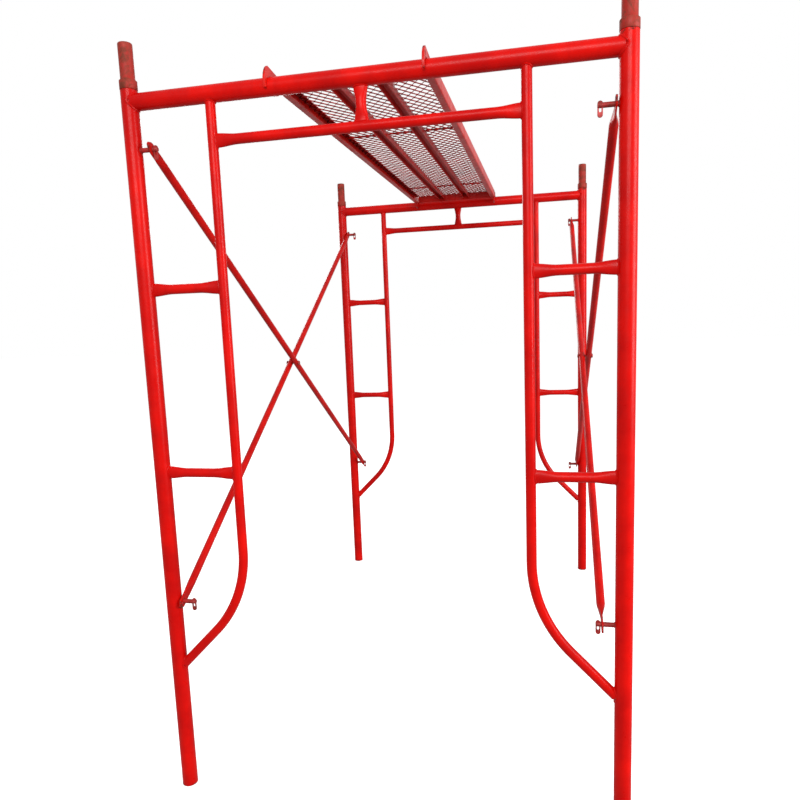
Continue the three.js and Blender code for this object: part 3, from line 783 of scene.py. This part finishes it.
CATWALK_HALF_WIDTH = 200 * MM
CATWALK_HALF_LENGTH = 855 * MM
CATWALK_SKEW = 0.0145
RAIL_FLANGE = 20 * MM
RAIL_WALL = 2.5 * MM
FOLD = 4 * MM
STIFFENER_X = 60.5 * MM
STIFFENER_WIDTH = 29 * MM
END_PLATE_THICKNESS = 4 * MM
STIFFENER_WELD = 1.8 * MM
CATWALK_WELD = 1.7 * MM
PLATE_BEAD_LENGTH = 12 * MM
HOOK_BEAD_LENGTH = 42 * MM
DECK_THICKNESS = 2 * MM
SHEET_LOW_Z = DECK_HIGH_Z - DECK_THICKNESS
CATWALK_PLACE = Matrix.Translation((CATWALK_X, 0, 0)) @ Matrix.Rotation(-CATWALK_SKEW, 4, "Z")


def finish_catwalk(form, name, nodes=(), slot="catwalk_frame", **settings):
    bmesh.ops.transform(form.bm, matrix=CATWALK_PLACE, verts=form.bm.verts)
    return form.finish(name, "catwalk", slot, nodes, **settings)


def folded(points, radius, steps=5):
    """An open outline with its corners rounded."""
    out = [Vector(points[0])]
    for before, corner, after in zip(points, points[1:], points[2:]):
        before, corner, after = Vector(before), Vector(corner), Vector(after)
        a = (before - corner).normalized()
        b = (after - corner).normalized()
        middle = corner + (a + b) * radius
        for i in range(steps + 1):
            t = i / steps * math.pi / 2
            out.append(middle - b * radius * math.cos(t) - a * radius * math.sin(t))
    out.append(Vector(points[-1]))
    return out


def sheet_profile(points, radius, wall):
    """The closed outline of a folded sheet that lies on the right of its outer face."""
    outer = folded(points, radius)
    inner = []
    for i, p in enumerate(outer):
        before = outer[max(i - 1, 0)]
        after = outer[min(i + 1, len(outer) - 1)]
        t = (after - before).normalized()
        inner.append(p + Vector((t.y, -t.x)) * wall)
    return outer + inner[::-1]


def channel(form, profile, start, end, sx=1, steps=40):
    rings = []
    for i in range(steps + 1):
        at = start + (end - start) * i / steps
        rings.append([Vector((sx * p.x, at, p.y)) for p in profile])
    wear = [0.9, 0.15] + [0.0] * (steps - 3) + [0.15, 0.9]
    form.loft(rings, wear=wear, caps=(True, True))


def fillet(form, start, end, out, size, seed):
    """A weld bead along a straight line, its two ends tapering off."""
    rng = random.Random(seed)
    direction = (end - start).normalized()
    side = direction.cross(out).normalized()
    length = (end - start).length
    count = max(8, int(length / BEAD_STEP))
    ripples = max(3, round(length / RIPPLE))
    rings = []
    for i in range(count + 1):
        t = i / count
        taper = min(1.0, math.sin(math.pi * t) * 3 + 0.25)
        wave = 1 + 0.14 * abs(math.sin(math.pi * ripples * t)) + rng.uniform(-0.03, 0.03)
        rings.append(ring(start.lerp(end, t), out, side, size * taper * wave, size * taper * wave * 1.1, 8))
    form.loft(rings, wear=[0.25] * (count + 1), weld=1.0, caps=(True, True))


def make_rail(side, sx):
    form = Form()
    lip = CATWALK_HALF_WIDTH - RAIL_FLANGE
    points = [
        (lip, RAIL_HIGH_Z), (CATWALK_HALF_WIDTH, RAIL_HIGH_Z),
        (CATWALK_HALF_WIDTH, RAIL_LOW_Z), (lip, RAIL_LOW_Z),
    ]
    channel(form, sheet_profile(points, FOLD, RAIL_WALL), -CATWALK_HALF_LENGTH, CATWALK_HALF_LENGTH, sx)
    finish_catwalk(form, f"catwalk_{side}_rail_folded", [f"catwalk_{side}_rail"])


def make_stiffener(side, sx):
    form = Form()
    low, high = STIFFENER_X - STIFFENER_WIDTH / 2, STIFFENER_X + STIFFENER_WIDTH / 2
    points = [
        (low, STIFFENER_LOW_Z), (low, STIFFENER_HIGH_Z), (high, STIFFENER_HIGH_Z), (high, STIFFENER_LOW_Z),
    ]
    reach = CATWALK_HALF_LENGTH - END_PLATE_THICKNESS - GAP
    channel(form, sheet_profile(points, FOLD, RAIL_WALL), -reach, reach, sx)
    for ey in (-1, 1):
        for x, out in ((low, -X), (high, X)):
            foot = Vector((sx * x, ey * (reach + GAP), STIFFENER_LOW_Z + 3 * MM))
            head = Vector((sx * x, ey * (reach + GAP), STIFFENER_HIGH_Z - 5 * MM))
            fillet(form, foot, head, sx * out, STIFFENER_WELD, f"{side}{ey}{x}")
    finish_catwalk(form, f"catwalk_{side}_stiffener_folded", [f"catwalk_{side}_stiffener"])


def make_end_plate(end, ey):
    form = Form()
    low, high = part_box(f"catwalk_{end}_end_plate")
    half = CATWALK_HALF_WIDTH - RAIL_FLANGE - GAP
    y = ey * (CATWALK_HALF_LENGTH - END_PLATE_THICKNESS / 2)
    outline = [(-half, low[2]), (half, low[2]), (half, high[2]), (-half, high[2])]
    outline_plate(form, outline, [], END_PLATE_THICKNESS, lambda a, b, d: Vector((a, y + d, b)), 0.3)
    finish_catwalk(form, f"catwalk_{end}_end_plate_flat", [f"catwalk_{end}_end_plate"], bevel=0.8 * MM)
    beads = Form()
    for sx in (-1, 1):
        for z in (RAIL_LOW_Z + 0.4 * MM, RAIL_HIGH_Z - RAIL_WALL - 3.5 * MM):
            start = Vector((sx * (half + 0.2 * MM), y - ey * 3 * MM, z))
            stop = start + sx * PLATE_BEAD_LENGTH * X
            fillet(beads, start, stop, Z, CATWALK_WELD, f"{end}{sx}{z}")
    finish_catwalk(beads, f"catwalk_{end}_end_plate_beads")


def quadratic(a, b, c, steps):
    points = []
    for i in range(1, steps + 1):
        t = i / steps
        points.append(tuple((1 - t) ** 2 * p + 2 * t * (1 - t) * q + t * t * r for p, q, r in zip(a, b, c)))
    return points


HOOK_THICKNESS = 6 * MM
HOOK_SLOT_RADIUS = 25 * MM
HOOK_SLOT_DROP = 1.6 * MM
HOOK_PEAK = (12 * MM, 46 * MM)
HOOK_SHOULDER = (34 * MM, 32 * MM)
HOOK_NOSE = (34 * MM, 4 * MM)
HOOK_TIP = (31 * MM, -8 * MM)
HOOK_HEEL = (-30 * MM, -12 * MM)
HOOK_THROAT = (-51 * MM, -5 * MM)
HOOK_TAIL = 120 * MM


def make_hook(end, side, sx, ey):
    """A flame-cut plate over the header: nose in front, tail inside the rail."""
    form = Form()
    tail_top = SHEET_LOW_Z - GAP - HEADER_Z
    tail_bottom = RAIL_LOW_Z + RAIL_WALL + GAP - HEADER_Z
    rail_end = CATWALK_HALF_LENGTH - FRAME_Y + 2 * GAP
    slot = HOOK_SLOT_RADIUS
    outline = [(slot, HOOK_TIP[1]), HOOK_TIP, HOOK_NOSE]
    outline += quadratic(HOOK_NOSE, HOOK_SHOULDER, HOOK_PEAK, 14)
    outline += [(rail_end, tail_top), (-HOOK_TAIL, tail_top)]
    outline += [(-HOOK_TAIL, tail_bottom), (rail_end, tail_bottom)]
    outline += [HOOK_THROAT, HOOK_HEEL, (-slot, HOOK_HEEL[1])]
    outline += arc_points((0, -HOOK_SLOT_DROP), slot, 180, 0, 28)
    x = sx * (CATWALK_HALF_WIDTH - RAIL_WALL - GAP - HOOK_THICKNESS / 2)
    outline_plate(form, outline, [], HOOK_THICKNESS,
                  lambda a, b, d: Vector((x + d, ey * (FRAME_Y + a), HEADER_Z + b)), 0.55)
    finish_catwalk(form, f"catwalk_{end}_{side}_hook_plate", [f"catwalk_{end}_{side}_hook"], bevel=0.6 * MM)
    beads = Form()
    for z in (tail_top + HEADER_Z - 1 * MM, tail_bottom + HEADER_Z + 1 * MM):
        start = Vector((x - sx * HOOK_THICKNESS / 2, ey * (CATWALK_HALF_LENGTH - 6 * MM), z))
        stop = start - ey * HOOK_BEAD_LENGTH * Y
        fillet(beads, start, stop, -sx * X, CATWALK_WELD, f"{end}{side}{z}")
    finish_catwalk(beads, f"catwalk_{end}_{side}_hook_beads")


DIAMOND_X = 26 * MM
DIAMOND_Y = 38 * MM
STRAND_WIDTH = 6.2 * MM
STRAND_THICKNESS = 1.2 * MM
STRAND_LEAN = 48
STRAND_MARGIN = 1.5 * MM
EDGE_WIRE_RADIUS = 2.2 * MM
CORNERS = ((-1, -1), (1, -1), (1, 1), (-1, 1))


def make_deck():
    """Expanded metal: slanted strands between knuckles, trimmed to the deck's edges."""
    form = Form()
    half_x = CATWALK_HALF_WIDTH - RAIL_WALL - GAP
    half_y = CATWALK_HALF_LENGTH
    mid_z = DECK_HIGH_Z - DECK_THICKNESS / 2
    columns = int(2 * half_x / DIAMOND_X) + 2
    rows = int(2 * half_y / DIAMOND_Y) + 2

    def inside(p):
        return abs(p.x) <= half_x - STRAND_MARGIN and abs(p.y) <= half_y - STRAND_MARGIN

    def strand(a, b, tilt):
        """One strand from knuckle to knuckle, its section leaning over."""
        direction = (b - a).normalized()
        side = direction.cross(Z).normalized()
        lean = Matrix.Rotation(tilt, 3, direction)
        u, v = lean @ side, lean @ Z
        rings = []
        for t in (0.0, 0.14, 0.86, 1.0):
            pinch = 1.3 if t in (0.0, 1.0) else 0.85
            middle = a.lerp(b, t)
            half_w, half_t = STRAND_WIDTH / 2 * pinch, STRAND_THICKNESS / 2
            rings.append([middle + u * half_w * p + v * half_t * q for p, q in CORNERS])
        form.loft(rings, wear=[0.75, 0.45, 0.45, 0.75], caps=(True, True))

    def clipped(a, b):
        if inside(a) and inside(b):
            return a, b
        if not inside(a) and not inside(b):
            return None
        if not inside(a):
            a, b = b, a
        low, high = 0.0, 1.0
        for _ in range(20):
            half = (low + high) / 2
            low, high = (half, high) if inside(a.lerp(b, half)) else (low, half)
        return a, a.lerp(b, low)

    for row in range(-rows, rows + 1):
        for column in range(-columns, columns + 1):
            if (row + column) % 2:
                continue
            knuckle = Vector((column * DIAMOND_X / 2, row * DIAMOND_Y / 2, mid_z))
            for step in (-1, 1):
                other = knuckle + Vector((step * DIAMOND_X / 2, DIAMOND_Y / 2, 0))
                ends = clipped(knuckle, other)
                if ends:
                    strand(*ends, math.radians(STRAND_LEAN * step))
    edge = EDGE_WIRE_RADIUS
    corners = [Vector((sx * (half_x - edge), sy * (half_y - edge), mid_z)) for sx, sy in CORNERS]
    for a, b in zip(corners, corners[1:] + corners[:1]):
        direction = (b - a).normalized()
        rings = [ring(p, direction.cross(Z), Z, edge, DECK_THICKNESS / 2, 8) for p in (a, b)]
        form.loft(rings, wear=[0.4, 0.4], caps=(True, True))
    finish_catwalk(form, "catwalk_deck_expanded_metal", ["catwalk_deck"], "deck_mesh", sharp=30)


ROD_STATIONS = (-292 * MM, 622 * MM)
ROD_RADIUS = 3 * MM
ROD_BOW = 0.6 * MM


def make_deck_rods():
    form = Form()
    z = SHEET_LOW_Z - ROD_RADIUS * 0.7
    inner, outer = STIFFENER_X - STIFFENER_WIDTH / 2, STIFFENER_X + STIFFENER_WIDTH / 2
    reach = CATWALK_HALF_WIDTH - RAIL_WALL
    for y in ROD_STATIONS:
        for a, b in ((-reach, -outer), (-inner, inner), (outer, reach)):
            rings = []
            for i in range(9):
                x = a + (b - a) * i / 8
                bow = ROD_BOW * math.sin(math.pi * i / 8)
                rings.append(ring(Vector((x, y, z - bow)), Y, Z, ROD_RADIUS, ROD_RADIUS, 14))
            form.loft(rings, wear=[0.5] * 9, caps=(True, True))
    finish_catwalk(form, "catwalk_deck_cross_rods")


for end, ey in ENDS.items():
    y = ey * FRAME_Y
    make_header(end, y)
    make_lower_header(end, y)
    make_centre_post(end, y)
    for side, sx in SIDES.items():
        label = f"{end}_{side}"
        make_leg(label, sx * LEG_X, y)
        make_inner_tube(label, sx, y)
        make_coupling_pin(label, sx * LEG_X, y)
        for level in LEVELS:
            make_rung(label, level, sx, y)
            make_stud(label, level, sx, y)
            make_lock(label, level, sx, y)
        make_hook(end, side, sx, ey)
    make_end_plate(end, ey)
for side, sx in SIDES.items():
    make_brace(side, "outer", sx, sx < 0)
    make_brace(side, "inner", sx, sx > 0)
    make_rivet(side)
    make_rail(side, sx)
    make_stiffener(side, sx)
make_deck()
make_deck_rods()

# ---- floor, light and camera ------------------------------------------------------------------

FLOOR_REACH = 30.0
CAMERA_PLACE = (0.42207, -2.51775, 1.32364)
CAMERA_YAW, CAMERA_PITCH, CAMERA_ROLL = -0.2079, 0.1389, -0.0366
CAMERA_LENS = 29.659
CAMERA_SHIFT_X, CAMERA_SHIFT_Y = -0.00859, 0.01638


def make_floor():
    n = Nodes("pale_floor")
    mottle = n.noise(n.place(), 1.5, 4, 0.6)
    n.put(n.shader.inputs["Base Color"], n.mix(mottle, (0.74, 0.74, 0.74, 1), (0.78, 0.78, 0.78, 1)))
    n.shader.inputs["Roughness"].default_value = 0.9
    n.shader.inputs["Emission Color"].default_value = (1, 1, 1, 1)
    n.shader.inputs["Emission Strength"].default_value = 0.5
    mesh = bpy.data.meshes.new("floor")
    corners = [(FLOOR_REACH * sx, FLOOR_REACH * sy, -0.5 * MM) for sx, sy in CORNERS]
    mesh.from_pydata(corners, [], [(0, 1, 2, 3)])
    mesh.materials.append(n.material)
    floor = bpy.data.objects.new("floor", mesh)
    bpy.context.scene.collection.objects.link(floor)
    floor.visible_diffuse = False
    floor.visible_glossy = False


def make_light(name, place, target, size, power, colour=(1, 1, 1)):
    light = bpy.data.lights.new(name, "AREA")
    light.shape = "RECTANGLE"
    light.size, light.size_y = size
    light.energy = power
    light.color = colour
    obj = bpy.data.objects.new(name, light)
    obj.location = place
    obj.rotation_euler = (Vector(target) - Vector(place)).to_track_quat("-Z", "Y").to_euler()
    bpy.context.scene.collection.objects.link(obj)


def make_world(sky, ground, seen):
    """A soft sky over a darker ground; the camera sees it as a plain pale backdrop."""
    world = bpy.data.worlds.new("studio")
    world.use_nodes = True
    tree = world.node_tree
    background = tree.nodes["Background"]
    background.inputs["Color"].default_value = (1, 1, 1, 1)
    place = tree.nodes.new("ShaderNodeTexCoord")
    parts = tree.nodes.new("ShaderNodeSeparateXYZ")
    height = tree.nodes.new("ShaderNodeMapRange")
    height.inputs["From Min"].default_value = -0.15
    height.inputs["From Max"].default_value = 0.4
    height.inputs["To Min"].default_value = ground
    height.inputs["To Max"].default_value = sky
    path = tree.nodes.new("ShaderNodeLightPath")
    shown = tree.nodes.new("ShaderNodeMix")
    shown.inputs["B"].default_value = seen
    tree.links.new(place.outputs["Generated"], parts.inputs["Vector"])
    tree.links.new(parts.outputs["Z"], height.inputs["Value"])
    tree.links.new(height.outputs["Result"], shown.inputs["A"])
    tree.links.new(path.outputs["Is Camera Ray"], shown.inputs["Factor"])
    tree.links.new(shown.outputs["Result"], background.inputs["Strength"])
    bpy.context.scene.world = world


def make_camera():
    """Standing in front of the section, a little right of the middle, looking left and down."""
    forward = Vector((math.sin(CAMERA_YAW), math.cos(CAMERA_YAW), 0))
    level_right = Vector((math.cos(CAMERA_YAW), -math.sin(CAMERA_YAW), 0))
    look = forward * math.cos(CAMERA_PITCH) - Z * math.sin(CAMERA_PITCH)
    level_up = Z * math.cos(CAMERA_PITCH) + forward * math.sin(CAMERA_PITCH)
    right = level_right * math.cos(CAMERA_ROLL) + level_up * math.sin(CAMERA_ROLL)
    up = level_up * math.cos(CAMERA_ROLL) - level_right * math.sin(CAMERA_ROLL)
    data = bpy.data.cameras.new("camera")
    data.lens = CAMERA_LENS
    data.sensor_width = 36
    data.shift_x = CAMERA_SHIFT_X
    data.shift_y = CAMERA_SHIFT_Y
    data.clip_start, data.clip_end = 0.05, 100
    camera = bpy.data.objects.new("camera", data)
    basis = Matrix((right, up, -look)).transposed().to_4x4()
    camera.matrix_world = Matrix.Translation(CAMERA_PLACE) @ basis
    bpy.context.scene.collection.objects.link(camera)
    bpy.context.scene.camera = camera


make_floor()
make_world(sky=0.7, ground=0.42, seen=1.0)
make_light("key", (4.5, -1.6, 1.9), (0, 0, 1.4), (2.5, 2.5), 205)
make_light("front", (0.4, -5.0, 3.2), (0, 0, 1.2), (3.0, 2.0), 160)
make_light("back", (-3.0, 4.5, 3.2), (0, 0, 1.2), (3.0, 2.0), 110)
make_camera()
bpy.context.scene.view_settings.view_transform = "Standard"
